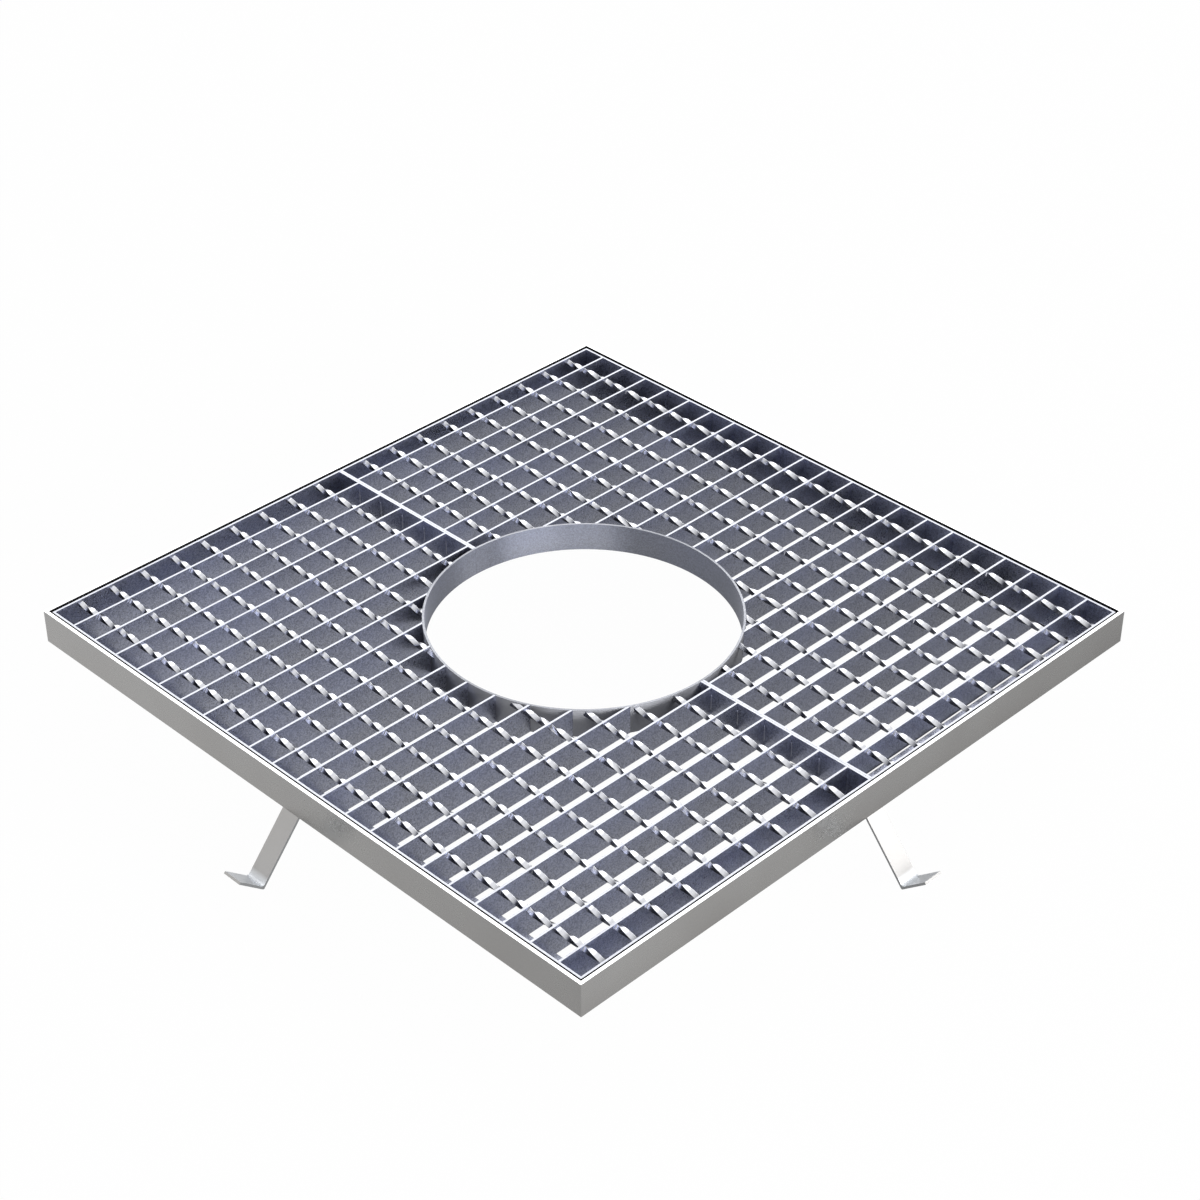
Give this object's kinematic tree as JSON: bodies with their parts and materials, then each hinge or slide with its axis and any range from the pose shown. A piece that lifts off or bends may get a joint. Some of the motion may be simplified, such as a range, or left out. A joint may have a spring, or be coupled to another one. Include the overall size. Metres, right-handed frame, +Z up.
{
  "type": "tree grate",
  "caption": "Square steel tree grate: an angle frame with cast-in anchors holds lift-out half panels of bar grating round a circular tree hole.",
  "frame": {"origin": "middle of the tree hole, level with the top of the bearing bars", "axes": "+Z up, along the tree hole's axis; the bearing bars run along Y and the split line lies along X"},
  "size_m": [0.8936, 0.8936, 0.0936],
  "materials": {
    "frame_angle": "galvanised, even dull grey",
    "anchor_strap": "galvanised, even dull grey",
    "grating_bar": "hot-dip galvanised, fine grain",
    "twisted_rod": "hot-dip galvanised, brighter",
    "tree_ring": "hot-dip galvanised, satin"
  },
  "bodies": {
    "frame": {"front_angle": "frame_angle", "right_angle": "frame_angle", "rear_angle": "frame_angle", "left_angle": "frame_angle", "front_anchor": "anchor_strap", "right_anchor": "anchor_strap", "rear_anchor": "anchor_strap", "left_anchor": "anchor_strap"},
    "rear_panel": {"rear_outer_band": "grating_bar", "rear_left_band": "grating_bar", "rear_right_band": "grating_bar", "rear_split_bands": "grating_bar", "rear_half_ring": "tree_ring", "rear_left_bars": "grating_bar", "rear_right_bars": "grating_bar", "rear_short_bar_1": "grating_bar", "rear_short_bar_2": "grating_bar", "rear_short_bar_3": "grating_bar", "rear_short_bar_4": "grating_bar", "rear_short_bar_5": "grating_bar", "rear_short_bar_6": "grating_bar", "rear_short_bar_7": "grating_bar", "rear_short_bar_8": "grating_bar", "rear_short_bar_9": "grating_bar", "rear_cross_rod_1": "twisted_rod", "rear_cross_rod_2": "twisted_rod", "rear_cross_rod_3": "twisted_rod", "rear_cross_rod_4": "twisted_rod", "rear_cross_rod_5": "twisted_rod", "rear_cross_rod_6": "twisted_rod", "rear_cross_rod_7": "twisted_rod", "rear_cross_rod_8": "twisted_rod", "rear_cross_rod_9": "twisted_rod"},
    "front_panel": {"front_outer_band": "grating_bar", "front_left_band": "grating_bar", "front_right_band": "grating_bar", "front_split_bands": "grating_bar", "front_half_ring": "tree_ring", "front_left_bars": "grating_bar", "front_right_bars": "grating_bar", "front_short_bar_1": "grating_bar", "front_short_bar_2": "grating_bar", "front_short_bar_3": "grating_bar", "front_short_bar_4": "grating_bar", "front_short_bar_5": "grating_bar", "front_short_bar_6": "grating_bar", "front_short_bar_7": "grating_bar", "front_short_bar_8": "grating_bar", "front_short_bar_9": "grating_bar", "front_cross_rod_1": "twisted_rod", "front_cross_rod_2": "twisted_rod", "front_cross_rod_3": "twisted_rod", "front_cross_rod_4": "twisted_rod", "front_cross_rod_5": "twisted_rod", "front_cross_rod_6": "twisted_rod", "front_cross_rod_7": "twisted_rod", "front_cross_rod_8": "twisted_rod", "front_cross_rod_9": "twisted_rod"}
  },
  "joints": [
    {"name": "lift_rear", "type": "slide", "parent": "frame", "child": "rear_panel", "axis": [0, 0, 1], "range_m": [0, 0.06]},
    {"name": "lift_front", "type": "slide", "parent": "frame", "child": "front_panel", "axis": [0, 0, 1], "range_m": [0, 0.06]}
  ]
}
